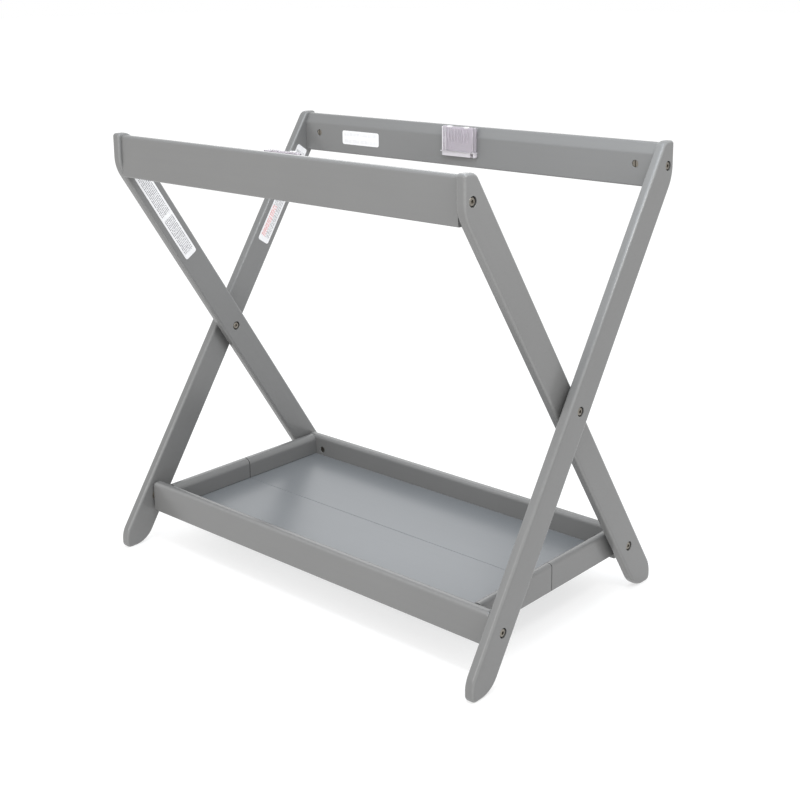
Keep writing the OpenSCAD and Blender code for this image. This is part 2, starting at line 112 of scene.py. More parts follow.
def outline(corners):
    """Points and outward normals (u, v, nu, nv) of a closed outline, from its corners (u, v, radius)."""
    count = len(corners)
    area = sum(
        corners[i][0] * corners[(i + 1) % count][1]
        - corners[(i + 1) % count][0] * corners[i][1]
        for i in range(count)
    )
    if area < 0:
        corners = corners[::-1]
    points = []
    for i in range(count):
        before, (u, v, radius), after = (
            corners[i - 1],
            corners[i],
            corners[(i + 1) % count],
        )
        corner = Vector((u, v))
        back = (Vector(before[:2]) - corner).normalized()
        ahead = (Vector(after[:2]) - corner).normalized()
        half = back.angle(ahead) / 2
        centre = corner + (back + ahead).normalized() * radius / math.sin(half)
        start = corner + back * radius / math.tan(half) - centre
        stop = corner + ahead * radius / math.tan(half) - centre
        first = math.atan2(start.y, start.x)
        turn = (math.atan2(stop.y, stop.x) - first + math.pi) % math.tau - math.pi
        side = 1 if turn > 0 else -1
        for step in range(ARC_STEPS + 1):
            angle = first + turn * step / ARC_STEPS
            spoke = Vector((math.cos(angle), math.sin(angle)))
            point = centre + spoke * radius
            points.append((point.x, point.y, side * spoke.x, side * spoke.y))
    return points


def circle(centre, radius):
    """Points of a circle."""
    angles = [math.tau * i / CIRCLE for i in range(CIRCLE)]
    return [(centre[0] + radius * math.cos(a), centre[1] + radius * math.sin(a)) for a in angles]


def leg_outline(head_side):
    """Outline of a leg in (y, z). Its head is at -y if head_side is -1, and at +y if it is 1."""
    slope = math.tan(LEAN)
    slant = LEG_W / math.cos(LEAN)

    def lower(z):
        return -HEAD_Y + (KINK_Z - z) * slope

    corners = [
        (-HEAD_Y, LEG_TOP, 5 * mm),
        (-HEAD_Y, KINK_Z, 60 * mm),
        (lower(0), 0, 42 * mm),
        (FOOT_Y, 0, 9 * mm),
        (FOOT_Y, (lower(0) + slant - FOOT_Y) / slope, 40 * mm),
        (lower(LEG_TOP) + slant, LEG_TOP, 16 * mm),
    ]
    return outline([(-head_side * y, z, r) for y, z, r in corners])


def rectangle(u0, v0, u1, v1, radius):
    return outline([(u0, v0, radius), (u1, v0, radius), (u1, v1, radius), (u0, v1, radius)])


# ------------------------------------------------------------------ solids

AXES = {
    "x": lambda a, u, v: Vector((a, u, v)),
    "y": lambda a, u, v: Vector((u, a, v)),
    "z": lambda a, u, v: Vector((u, v, a)),
}


def bridge(bm, first, second):
    """Quads between two rings of vertices."""
    count = len(first)
    for i in range(count):
        j = (i + 1) % count
        bm.faces.new((first[i], first[j], second[j], second[i]))


def sunk_hole(bm, place, centre, radius, depth, level, into):
    """Makes the rim, wall and bottom of a hole in a flat face at level, and returns the rim's vertices.

    An attribute rises to 1 at the bottom, where the paint is darkened as painted shade in the hole."""
    painted_shade = bm.verts.layers.float["painted_shade"]
    rings = []
    for step in range(HOLE_RIM_STEPS + 1):
        angle = math.pi / 2 * step / HOLE_RIM_STEPS
        r = radius + RECESS_RIM * (1 - math.sin(angle))
        a = level + into * RECESS_RIM * (1 - math.cos(angle))
        rings.append([bm.verts.new(place(a, u, v)) for u, v in circle(centre, r)])
    bottom = [bm.verts.new(place(level + into * depth, u, v)) for u, v in circle(centre, radius)]
    rings.append(bottom)
    for first, second in zip(rings, rings[1:]):
        bridge(bm, first, second)
    for vert in bottom:
        vert[painted_shade] = 1
    bm.faces.new(bottom)
    return rings[0]


def fill(bm, loops):
    """Flat face inside the first loop of vertices, less the loops after it."""
    verts = [v for loop in loops for v in loop]
    for triangle in tessellate_polygon([[v.co for v in loop] for loop in loops]):
        try:
            bm.faces.new([verts[i] for i in triangle])
        except ValueError:
            continue  # the face is there already


def slab(axis, points, low, high, edges, holes=(), side_holes=()):
    """A board whose outline runs from low to high along axis, as a bmesh with rounded rims.

    edges(nu, nv, end) is the rim radius at a point with that normal, at end -1 (low) or 1 (high).
    holes are (end, (u, v), radius, depth) in the two flat ends. side_holes are
    (nu, (a, v), radius, depth) in the long flat side that looks along nu * u."""
    place = AXES[axis]

    def place_in_side(u, a, v):
        return place(a, u, v)

    bm = bmesh.new()
    rim = bm.verts.layers.float.new("rim")
    bm.verts.layers.float.new("painted_shade")
    rings = []
    for end, level in ((-1, low), (1, high)):
        steps = range(RIM_STEPS + 1)
        for step in reversed(steps) if end < 0 else steps:
            angle = math.pi / 2 * step / RIM_STEPS
            ring = []
            for u, v, nu, nv in points:
                r = edges(nu, nv, end)
                inset = r * (1 - math.cos(angle))
                a = level - end * r * (1 - math.sin(angle))
                vert = bm.verts.new(place(a, u - nu * inset, v - nv * inset))
                vert[rim] = math.sin(2 * angle)
                ring.append(vert)
            rings.append(ring)
    count = len(points)
    for n, (first, second) in enumerate(zip(rings, rings[1:])):
        for i in range(count):
            j = (i + 1) % count
            quad = (first[i], first[j], second[j], second[i])
            here = [h for h in side_holes if n == RIM_STEPS and flat_side(points, i, h[0])]
            if not here:
                bm.faces.new(quad)
                continue
            loops = [list(quad)]
            for nu, centre, radius, depth in here:
                loops.append(sunk_hole(bm, place_in_side, centre, radius, depth, points[i][0], -nu))
            fill(bm, loops)
    for end, ring, level in ((-1, rings[0], low), (1, rings[-1], high)):
        loops = [ring]
        for hole_end, centre, radius, depth in holes:
            if hole_end == end:
                loops.append(sunk_hole(bm, place, centre, radius, depth, level, -end))
        fill(bm, loops)
    bmesh.ops.remove_doubles(bm, verts=bm.verts, dist=1e-7)
    bmesh.ops.recalc_face_normals(bm, faces=bm.faces)
    return bm


def flat_side(points, i, nu):
    """True if the outline's segment after point i is the long straight one that looks along nu * u."""
    u, v, normal, _ = points[i]
    after = points[(i + 1) % len(points)]
    return abs(after[0] - u) < 1e-7 and abs(after[1] - v) > 10 * mm and normal * nu > 0.9


def same_edge(radius, at_low=None):
    """Rim radius that is the same all round, with another one at the low end if at_low is given."""
    low = radius if at_low is None else at_low
    return lambda nu, nv, end: low if end < 0 else radius


def piece(name, bm, node, grain, sharp=35):
    """Turns a bmesh into a piece that replaces a CAD node. Its board's grain runs along grain."""
    mesh = bpy.data.meshes.new(name)
    bm.to_mesh(mesh)
    bm.free()
    along = Vector(grain).normalized()
    across = along.orthogonal().normalized()
    depth = along.cross(across)
    start = Vector([pattern.uniform(0, 5) for _ in range(3)])
    board = mesh.attributes.new("board", "FLOAT_VECTOR", "POINT")
    for vert, value in zip(mesh.vertices, board.data):
        value.vector = start + Vector((vert.co @ along, vert.co @ across, vert.co @ depth))
    mesh.polygons.foreach_set("use_smooth", [True] * len(mesh.polygons))
    mesh.set_sharp_from_angle(angle=math.radians(sharp))
    obj = bpy.data.objects.new(name, mesh)
    bpy.context.scene.collection.objects.link(obj)
    weighted = obj.modifiers.new("normals", "WEIGHTED_NORMAL")
    weighted.keep_sharp = True
    body = next(b for b, nodes in frame["record"]["behaviour"]["bodies"].items() if node in nodes)
    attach(obj, body)
    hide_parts(node)
    return obj


# ------------------------------------------------------------------ materials


class Shader:
    """A material whose nodes are added by calls, so that each finish below reads as a list of steps."""

    def __init__(self, name):
        self.material = bpy.data.materials.new(name)
        self.material.use_nodes = True
        self.nodes = self.material.node_tree.nodes
        self.links = self.material.node_tree.links
        self.bsdf = self.nodes["Principled BSDF"]

    def add(self, kind, settings=(), **inputs):
        node = self.nodes.new(kind)
        for key, value in dict(settings).items():
            setattr(node, key, value)
        for key, value in inputs.items():
            self.put(node, key.replace("_", " "), value)
        return node

    def put(self, node, key, value):
        """Links or sets an input, found by its name or, as "i0", by its number."""
        socket = node.inputs[int(key[1:])] if key[0] == "i" and key[1:].isdigit() else node.inputs[key]
        if isinstance(value, bpy.types.NodeSocket):
            self.links.new(value, socket)
        else:
            socket.default_value = value

    def board(self, scale):
        """The board's own coordinates (along, across, through), stretched by scale."""
        source = self.attribute("board").outputs["Vector"]
        return self.add("ShaderNodeMapping", Vector=source, Scale=scale).outputs[0]

    def noise(self, vector, scale, detail=3.0, roughness=0.5):
        node = self.add(
            "ShaderNodeTexNoise", Vector=vector, Scale=scale, Detail=detail, Roughness=roughness
        )
        return node.outputs["Fac"]

    def remap(self, value, low, high, to_low, to_high):
        """Runs from to_low to to_high, clamped, as value runs from low to high."""
        node = self.add("ShaderNodeMapRange")
        for i, v in enumerate((value, low, high, to_low, to_high)):
            self.put(node, f"i{i}", v)
        return node.outputs[0]

    def math(self, operation, a, b=0.0):
        node = self.add("ShaderNodeMath", {"operation": operation})
        self.put(node, "i0", a)
        self.put(node, "i1", b)
        return node.outputs[0]

    def mix(self, factor, a, b):
        node = self.add("ShaderNodeMix", {"data_type": "RGBA"})
        self.put(node, "i0", factor)
        self.put(node, "i6", a)
        self.put(node, "i7", b)
        return node.outputs[2]

    def bump(self, height, distance):
        node = self.add("ShaderNodeBump", Height=height, Distance=distance, Strength=1.0)
        return node.outputs[0]

    def attribute(self, name):
        return self.add("ShaderNodeAttribute", {"attribute_name": name})

    def within(self, value, low, high):
        """1 between low and high, and 0 elsewhere."""
        above = self.math("GREATER_THAN", value, low)
        return self.math("MULTIPLY", above, self.math("LESS_THAN", value, high))

    def surface(self, **inputs):
        for key, value in inputs.items():
            self.put(self.bsdf, key.replace("_", " "), value)
        return self.material


NO_TINT = (1.0, 1.0, 1.0)


def grey(value, tint=NO_TINT):
    return (value * tint[0], value * tint[1], value * tint[2], 1.0)


ROUGH_SPREAD = 0.03


def painted_wood(name, value, tint, roughness, seed):
    """Satin paint on boards: faint grain under the sheen, the rounded edges painted a little lighter as a
    highlight, and painted shade, almost black, in holes and seams.

    The roughness varies by ROUGH_SPREAD in all."""
    s = Shader(name)
    plain = s.board((1, 1, 1))
    clouds = s.noise(plain, 9 + seed, 2)
    grain = s.noise(s.board((7, 150, 150)), 1.0, 1)
    rim = s.attribute("rim").outputs["Fac"]
    # Painted highlight: the paint is lightened along the middle of each rounded edge, broken up by noise.
    highlight_breakup = s.math("ADD", 0.3, s.math("MULTIPLY", s.noise(plain, 120, 3), 0.9))
    edge_highlight = s.math("MULTIPLY", s.math("POWER", rim, 3.0), highlight_breakup)
    painted_shade = s.attribute("painted_shade").outputs["Fac"]
    base = s.mix(clouds, grey(value * 0.95, tint), grey(value * 1.05, tint))
    base = s.mix(s.math("MULTIPLY", grain, 0.3), base, grey(value * 0.9, tint))
    base = s.mix(s.math("MULTIPLY", edge_highlight, 0.6), base, grey(value * 1.5, tint))
    # Painted shade: where that attribute is 1, at hole bottoms and at the end boards' seam, the paint turns
    # almost black.
    base = s.mix(painted_shade, base, grey(0.015))
    rough = s.math("ADD", roughness - ROUGH_SPREAD / 2, s.math("MULTIPLY", clouds, ROUGH_SPREAD))
    return s.surface(Base_Color=base, Roughness=rough, Normal=s.bump(grain, 0.02 * mm))


def plated_steel(name, color, roughness):
    """Plated steel with turning marks and grime."""
    s = Shader(name)
    plain = s.board((1, 1, 1))
    spots = s.noise(plain, 900, 4)
    marks = s.noise(s.board((2500, 60, 60)), 1.0, 2)
    grime = tuple(c * 0.55 for c in color[:3]) + (1.0,)
    base = s.mix(s.remap(spots, 0.4, 0.7, 0.0, 0.6), color, grime)
    rough = s.remap(spots, 0.3, 0.7, roughness - 0.08, roughness + 0.12)
    return s.surface(Base_Color=base, Metallic=1.0, Roughness=rough, Normal=s.bump(marks, 0.02 * mm))


def clear_plastic(name):
    """Clear moulded plastic, a little hazy and lilac, and painted whiter and less clear where "pale" is high,
    as highlights.
    """
    s = Shader(name)
    haze = s.noise(s.board((1, 1, 1)), 160, 3)
    pale = s.attribute("pale").outputs["Fac"]
    base = s.mix(haze, (0.74, 0.68, 0.75, 1), (0.84, 0.79, 0.84, 1))
    base = s.mix(pale, base, (0.97, 0.95, 0.96, 1))
    rough = s.remap(haze, 0.3, 0.7, 0.10, 0.22)
    through = s.remap(pale, 0.0, 1.0, 0.80, 0.25)
    return s.surface(
        Base_Color=base, Roughness=rough, Transmission_Weight=through, Normal=s.bump(haze, 0.08 * mm)
    )


WORD_L = 2.2 * mm


def sticker(name, rows, length, strength, red=False):
    """White sticker with rows of broken grey bars and no lettering; the bars in one corner can be red."""
    s = Shader(name)
    face = s.attribute("face").outputs["Vector"]
    split = s.add("ShaderNodeSeparateXYZ", Vector=face)
    along, across = split.outputs[0], split.outputs[1]
    row = s.math("FRACT", s.math("MULTIPLY", across, rows))
    bar = s.math("MULTIPLY", s.math("GREATER_THAN", row, 0.25), s.math("LESS_THAN", row, 0.72))
    cells = s.add("ShaderNodeCombineXYZ")
    s.put(cells, "X", s.math("MULTIPLY", along, length / WORD_L))
    s.put(cells, "Y", s.math("FLOOR", s.math("MULTIPLY", across, rows)))
    breaks = s.noise(cells.outputs[0], 1.0, 1)
    bar = s.math("MULTIPLY", bar, s.math("GREATER_THAN", breaks, 0.44))
    inside = s.math("MULTIPLY", s.within(along, 0.05, 0.95), s.within(across, 0.08, 0.92))
    gap = s.math("SUBTRACT", 1.0, s.within(along, 0.46, 0.50))
    bar = s.math("MULTIPLY", s.math("MULTIPLY", bar, inside), gap)
    wear = s.remap(s.noise(face, 7, 2), 0.3, 0.7, 0, 1)
    paper = s.mix(wear, grey(0.70, (1.0, 0.99, 1.01)), grey(0.76))
    ink = grey(0.16, (1.0, 0.98, 1.04))
    if red:
        block = s.math("MULTIPLY", s.within(along, 0.03, 0.36), s.within(across, 0.0, 0.52))
        ink = s.mix(block, ink, (0.60, 0.03, 0.02, 1))
    base = s.mix(s.math("MULTIPLY", bar, strength), paper, ink)
    return s.surface(Base_Color=base, Roughness=0.42)


def bare_wood(name):
    """Beech dowels: warm, with fine streaks."""
    s = Shader(name)
    streaks = s.noise(s.board((30, 900, 900)), 1.0, 4, 0.6)
    base = s.mix(streaks, (0.45, 0.28, 0.15, 1), (0.62, 0.43, 0.25, 1))
    return s.surface(Base_Color=base, Roughness=0.6, Normal=s.bump(streaks, 0.05 * mm))


def nylon(name, value):
    """Moulded plastic with a fine grit."""
    s = Shader(name)
    grit = s.noise(s.board((1, 1, 1)), 1500, 3)
    base = s.mix(grit, grey(value * 0.8), grey(value * 1.2))
    return s.surface(Base_Color=base, Roughness=0.5, Normal=s.bump(grit, 0.03 * mm))


FLOOR_GLOW = 0.62  # keeps the backdrop white and the shadows light


def studio_floor(name):
    """Plain pale floor."""
    s = Shader(name)
    speckle = s.noise(s.add("ShaderNodeTexCoord").outputs["Object"], 3, 2)
    base = s.mix(speckle, grey(0.43), grey(0.45))
    return s.surface(
        Base_Color=base, Roughness=0.8, Specular_IOR_Level=0.1,
        Emission_Color=grey(1.0), Emission_Strength=FLOOR_GLOW,
    )


PAINT = painted_wood("satin_grey_paint", 0.163, (1.0, 1.0, 0.99), 0.245, 0)
# Painted light: the tray floor has the same grey paint, painted lighter and bluer as the light from above
# falls on it.
TOP_LIT_FLOOR_PAINT = painted_wood("tray_floor_paint", 0.185, (0.95, 1.0, 1.055), 0.31, 2)
STEEL = plated_steel("plated_steel", (0.24, 0.22, 0.19, 1), 0.32)
DARK_STEEL = plated_steel("dark_steel", (0.06, 0.06, 0.065, 1), 0.38)
CLEAR = clear_plastic("clear_plastic")
DOWEL = bare_wood("bare_beech")
NYLON = nylon("dark_nylon", 0.03)


def finish_with(obj, material):
    obj.data.materials.clear()
    obj.data.materials.append(material)
    return obj


# ------------------------------------------------------------------ legs and rails


def leg(node, head_side, recesses):
    """A leg board; recesses are (end, (y, z)) where a bolt head sits in it."""
    low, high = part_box(node)
    holes = [(end, centre, RECESS_R, RECESS_DEPTH) for end, centre in recesses]
    bm = slab("x", leg_outline(head_side), low.x, high.x, same_edge(LEG_EDGE), holes)
    grain = (0, -head_side * math.sin(LEAN), -math.cos(LEAN))
    return finish_with(piece(node + "_board", bm, node, grain), PAINT)


def middle(node):
    """Middle of a node's box, as (y, z)."""
    low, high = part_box(node)
    return ((low.y + high.y) / 2, (low.z + high.z) / 2)


RAIL_BOLT_REAR = middle("rear_rail_bolts")
RAIL_BOLT_FRONT = middle("front_rail_bolts")
CROSSING = middle("crossing_bolts")
TRAY_BOLT_FRONT = middle("tray_front_bolts")
TRAY_BOLT_REAR = middle("tray_rear_bolts")

for side, word in ((-1, "left"), (1, "right")):
    leg(
        f"outer_leg_{word}", 1,
        [(side, RAIL_BOLT_REAR), (side, CROSSING), (side, TRAY_BOLT_FRONT)],
    )
    leg(
        f"inner_leg_{word}", -1,
        [(side, RAIL_BOLT_FRONT), (-side, CROSSING), (side, TRAY_BOLT_REAR)],
    )


def barrel_holes(barrel_node, end, depth):
    """The two holes over a node's barrel nuts, in the face at that end."""
    low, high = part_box(barrel_node)
    z = (low.z + high.z) / 2
    x = high.x - (high.z - low.z) / 2
    return [(end, (side * x, z), BARREL_HOLE_R, depth) for side in (-1, 1)]


def rail(node, face_side, barrel_node):
    """A top rail; face_side is -1 for the front rail, whose plain face looks to -y."""
    low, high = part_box(node)
    thick, height = high.y - low.y, high.z - low.z
    face_y = low.y if face_side < 0 else high.y
    inward = -face_side
    corners = [
        (0, 0, 3 * mm),
        (thick, 0, 3 * mm),
        (thick, height - RAIL_BEVEL_H, 8 * mm),
        (thick / 2 + 1 * mm, height, 5 * mm),
        (0, height, 5 * mm),
    ]
    points = outline([(face_y + inward * y, low.z + z, r) for y, z, r in corners])
    holes = barrel_holes(barrel_node, inward, RAIL_HOLE_DEPTH)
    bm = slab("x", points, low.x, high.x, same_edge(0.5 * mm), side_holes=holes)
    return finish_with(piece(node + "_board", bm, node, (1, 0, 0)), PAINT)


rail("front_rail", -1, "front_rail_barrel_nuts")
rail("rear_rail", 1, "rear_rail_barrel_nuts")


# ------------------------------------------------------------------ tray


def long_board(node, face_side, barrel_node):
    """A long tray board whose outer face looks along face_side * y, rounder at its top than at its bottom."""
    low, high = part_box(node)

    def edges(nu, nv, end):
        return (3 + 3 * nv if nv > 0 else 3 + nv) * mm

    holes = barrel_holes(barrel_node, -face_side, TRAY_HOLE_DEPTH)
    points = rectangle(low.x, low.z, high.x, high.z, 6.2 * mm)
    bm = slab("y", points, low.y, high.y, edges, holes)
    return finish_with(piece(node + "_board", bm, node, (1, 0, 0)), PAINT)


def end_board(node, side, rear):
    """Half of an end board, with a quarter-round top inside and a small round at the middle seam."""
    low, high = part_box(node)
    thick, height = high.x - low.x, high.z - low.z
    inner_x = low.x if side > 0 else high.x
    floor_low, floor_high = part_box("tray_front_floor")
    panel = floor_high.z - floor_low.z
    corners = [
        (FLOOR_GROOVE, 0, 1.4 * mm),
        (thick, 0, 1.5 * mm),
        (thick, height, 5 * mm),
        (0, height, 11 * mm),
        (0, panel, 1.4 * mm),
        (FLOOR_GROOVE, panel, 1.4 * mm),
    ]
    points = outline([(inner_x + side * x, low.z + z, r) for x, z, r in corners])
    seam_end = -1 if rear else 1
    bm = slab(
        "y", points, low.y, high.y,
        lambda nu, nv, end: SEAM_EDGE if end == seam_end else SQUARE_EDGE,
    )
    # Painted shade: the rounded seam edge is marked to be painted almost black, like the shaded gap between
    # the halves.
    painted_shade = bm.verts.layers.float["painted_shade"]
    seam_y = low.y if rear else high.y
    for vert in bm.verts:
        if abs(vert.co.y - seam_y) < SEAM_EDGE / 4:
            vert[painted_shade] = 1
    return finish_with(piece(node + "_board", bm, node, (0, 1, 0)), PAINT)


def floor_panel(node, rear):
    """Half of the tray's floor. Its outer edge lies just inside its long board."""
    low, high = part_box(node)
    board_low, board_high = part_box("tray_rear_board" if rear else "tray_front_board")
    y0, y1 = (low.y, board_low.y + SQUARE_EDGE) if rear else (board_high.y - SQUARE_EDGE, high.y)
    points = rectangle(low.x, y0, high.x, y1, 0.8 * mm)
    bm = slab("z", points, low.z, high.z, same_edge(0.6 * mm, SQUARE_EDGE))
    return finish_with(piece(node + "_panel", bm, node, (1, 0, 0)), TOP_LIT_FLOOR_PAINT)


for word, rear in (("front", False), ("rear", True)):
    long_board(f"tray_{word}_board", 1 if rear else -1, f"tray_{word}_barrel_nuts")
    floor_panel(f"tray_{word}_floor", rear)
    for side, side_word in ((-1, "left"), (1, "right")):
        end_board(f"tray_{word}_end_{side_word}", side, rear)


# ------------------------------------------------------------------ fasteners


def hex_radius(angle):
    """Distance from the middle of the hexagon socket to its side, at an angle."""
    sector = math.pi / 3
    return SOCKET_APOTHEM / math.cos((angle + sector / 2) % sector - sector / 2)


def add_bolt(bm, centre, top_x, tip_x, shank_r):
    """A bolt along x, whose domed head has its top at top_x and whose shank ends at tip_x."""
    out = 1 if top_x > tip_x else -1

    def ring(x, radius):
        verts = []
        for i in range(CIRCLE):
            a = math.tau * i / CIRCLE
            y, z = centre[0] + radius(a) * math.cos(a), centre[1] + radius(a) * math.sin(a)
            verts.append(bm.verts.new((x, y, z)))
        return verts

    def plain(r):
        return lambda angle: r

    under = top_x - out * HEAD_H
    rings = [ring(top_x - out * SOCKET_DEPTH, hex_radius)]
    rings.append(ring(top_x - out * 0.15 * mm, hex_radius))
    rings.append(ring(top_x, lambda a: hex_radius(a) + 0.18 * mm))
    for share, drop in HEAD_DOME:
        rings.append(ring(top_x - out * drop * mm, plain(HEAD_R * share)))
    rings.append(ring(under + out * 0.2 * mm, plain(HEAD_R)))
    rings.append(ring(under, plain(HEAD_R - 0.2 * mm)))
    rings.append(ring(under, plain(shank_r)))
    rings.append(ring(tip_x + out * 0.6 * mm, plain(shank_r)))
    rings.append(ring(tip_x, plain(shank_r - 0.6 * mm)))
    for first, second in zip(rings, rings[1:]):
        bridge(bm, first, second)
    bm.faces.new(rings[0])
    bm.faces.new(rings[-1])


def bolts(node, inward=False):
    """The two bolts of a node, mirrored left and right. Heads that are inward look to the middle."""
    centre = middle(node)
    shank_r = SLEEVE_R if inward else SHANK_R
    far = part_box(node)[1].x
    inner = min(v.co.x for v in frame["nodes"][node].data.vertices if v.co.x > 0)
    bm = bmesh.new()
    bm.verts.layers.float.new("rim")
    for side in (-1, 1):
        top, tip = (inner, far) if inward else (far, inner)
        add_bolt(bm, centre, side * top, side * tip, shank_r)
    bmesh.ops.recalc_face_normals(bm, faces=bm.faces)
    return finish_with(piece(node + "_turned", bm, node, (1, 0, 0)), STEEL)


for where in ("rear_rail", "front_rail", "crossing", "tray_front", "tray_rear"):
    bolts(f"{where}_bolts")
bolts("crossing_sleeve_nuts", inward=True)


def refined(node, material, grain, bevel):
    """A clean copy of a small CAD node with softened edges."""
    bm = bmesh.new()
    bm.from_mesh(frame["nodes"][node].data)
    for layer in list(bm.verts.layers.float.values()):
        bm.verts.layers.float.remove(layer)
    bmesh.ops.remove_doubles(bm, verts=bm.verts, dist=1e-6)
    bmesh.ops.dissolve_limit(bm, angle_limit=math.radians(0.5), verts=bm.verts, edges=bm.edges)
    bm.verts.layers.float.new("rim")
    obj = piece(node + "_piece", bm, node, grain, 25)
    soft = obj.modifiers.new("edges", "BEVEL")
    soft.width = bevel
    soft.segments = 2
    soft.limit_method = "ANGLE"
    soft.angle_limit = math.radians(40)
    obj.modifiers.move(1, 0)
    return finish_with(obj, material)


BARREL_NUTS = [f"{where}_barrel_nuts" for where in ("rear_rail", "front_rail", "tray_front", "tray_rear")]
ALONG_X, ALONG_Y, ALONG_Z = (1, 0, 0), (0, 1, 0), (0, 0, 1)
SMALL_PARTS = [
    (BARREL_NUTS, STEEL, ALONG_Y, 0.25 * mm),
    (("tray_front_washers", "tray_rear_washers", "hinge_pins"), STEEL, ALONG_X, 0.15 * mm),
    (("hinge_front_leaves", "hinge_rear_leaves"), STEEL, ALONG_X, 0.3 * mm),
    (("hinge_front_screws", "hinge_rear_screws"), STEEL, ALONG_Z, 0.1 * mm),
    (("rear_bracket_screws", "front_bracket_screws"), DARK_STEEL, ALONG_Y, 0.1 * mm),
    (("rear_rail_dowels", "front_rail_dowels"), DOWEL, ALONG_X, 0.5 * mm),
    (("tray_front_dowels", "tray_rear_dowels"), DOWEL, ALONG_Y, 0.5 * mm),
    (("crossing_spacers",), NYLON, ALONG_X, 0.3 * mm),
]
for small_nodes, material, grain, bevel in SMALL_PARTS:
    for small_node in small_nodes:
        refined(small_node, material, grain, bevel)


# ------------------------------------------------------------------ brackets


def bracket(node, face_side):
    """A clear bracket on a rail's inner face; face_side is -1 on the front rail.

    Its "pale" attribute sets how much each part is painted whiter and less clear, as painted highlights on
    the walls, catches, ledge and flange."""
    low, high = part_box(node)
    inward = -face_side
    back = low.y if face_side < 0 else high.y
    half = BRACKET_W / 2
    top = high.z
    box_z = low.z + FLANGE_H
    front = high.y - low.y - RIB_PROUD
    whole = bmesh.new()
    pale = whole.verts.layers.float.new("pale")

    def part(x0, x1, d0, d1, z0, z1, edge, painted_highlight, corner=0.8 * mm):
        """A block from x0 to x1 and z0 to z1, and d0 to d1 out from the rail."""
        y0, y1 = sorted((back + inward * d0, back + inward * d1))
        block = slab("y", rectangle(x0, z0, x1, z1, corner), y0, y1, same_edge(edge))
        mesh = bpy.data.meshes.new("part")
        block.to_mesh(mesh)
        block.free()
        start = len(whole.verts)
        whole.from_mesh(mesh)
        bpy.data.meshes.remove(mesh)
        whole.verts.ensure_lookup_table()
        for vert in whole.verts[start:]:
            vert[pale] = painted_highlight

    rail_gap = 0.1 * mm
    proud = front + 0.2 * mm
    # back and front walls of the pocket
    part(-half, half, rail_gap, BRACKET_WALL, box_z, top - 1.5 * mm, 0.5 * mm, 0.1)
    part(-half, half, front - BRACKET_WALL, front, box_z, top - 1.4 * mm, 0.6 * mm, 0.12, 1.8 * mm)
    # upright walls between them, the ones at the left painted whiter than the one at the right, as highlights
    for x, painted_highlight in ((-half, 0.8), (-half + 6 * mm, 0.5), (half - SIDE_WALL, 0.3)):
        side_top = top - 1.6 * mm
        part(x, x + SIDE_WALL, BRACKET_WALL, proud, box_z, side_top, 0.6 * mm, painted_highlight, 0.85 * mm)
    # catches on the front wall's top edge, painted whiter as highlights
    for x0, x1 in ((-22 * mm, -12 * mm), (13 * mm, 23 * mm)):
        part(x0, x1, front - 3.2 * mm, proud, top - 3 * mm, top, 0.7 * mm, 0.8, 1.3 * mm)
    # ribs
    rib_front, rib_low, rib_high = front + RIB_PROUD, box_z + 15 * mm, top - 5 * mm
    for i in range(RIB_COUNT):
        x = -19 * mm + i * RIB_STEP
        part(x, x + RIB_W, front - 0.5 * mm, rib_front, rib_low, rib_high, 0.45 * mm, 0.2, 0.7 * mm)
    # ledge, flange, and the blocks under the ledge, which leave a notch for the screw, all painted somewhat
    # whiter as highlights
    right = high.x - 4 * mm
    part(low.x, right, rail_gap, LEDGE_D, box_z - LEDGE_T, box_z, 0.6 * mm, 0.6, 0.9 * mm)
    part(low.x, right, rail_gap, BRACKET_WALL, low.z, box_z - 1.8 * mm, 0.5 * mm, 0.3, 3 * mm)
    screw_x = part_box(node + "_screws")[1].x - SCREW_HEAD_R
    block_front, block_low, block_high = LEDGE_D - 0.8 * mm, low.z + 0.5 * mm, box_z - 1.6 * mm
    for x0, x1 in ((low.x + 3 * mm, screw_x - SCREW_HEAD_R), (screw_x + SCREW_HEAD_R, right)):
        part(x0, x1, 2 * mm, block_front, block_low, block_high, 0.6 * mm, 0.5, 1.5 * mm)
    bmesh.ops.recalc_face_normals(whole, faces=whole.faces)
    return finish_with(piece(node + "_shell", whole, node, (0, 0, 1)), CLEAR)


bracket("rear_bracket", 1)
bracket("front_bracket", -1)


# ------------------------------------------------------------------ labels


def label(node, axis, corners, low, high, material, start, along, across):
    """A thin sticker; its "face" attribute runs from 0 to 1 along and across it."""
    bm = slab(axis, outline(corners), low, high, same_edge(0.12 * mm))
    obj = piece(node + "_sticker", bm, node, (1, 0, 0))
    face = obj.data.attributes.new("face", "FLOAT_VECTOR", "POINT")
    for vert, value in zip(obj.data.vertices, face.data):
        offset = vert.co - start
        u, v = offset.dot(along) / along.length_squared, offset.dot(across) / across.length_squared
        value.vector = (u, v, 0)
    return finish_with(obj, material)


def leg_label(node, head_side, length, material):
    """A sticker on the inner face of a left leg, leaning with it."""
    low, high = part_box(node)
    up = Vector((0, head_side * math.sin(LEAN), math.cos(LEAN)))
    right = Vector((0, math.cos(LEAN), -head_side * math.sin(LEAN)))
    centre = Vector((high.x, *middle(node)))
    corners = []
    for a, b in ((-1, -1), (-1, 1), (1, 1), (1, -1)):
        corner = centre + up * a * length / 2 + right * b * LEG_LABEL_W / 2
        corners.append((corner.y, corner.z, LABEL_R))
    start = centre - up * length / 2 - right * LEG_LABEL_W / 2
    return label(node, "x", corners, low.x, high.x, material, start, up * length, right * LEG_LABEL_W)


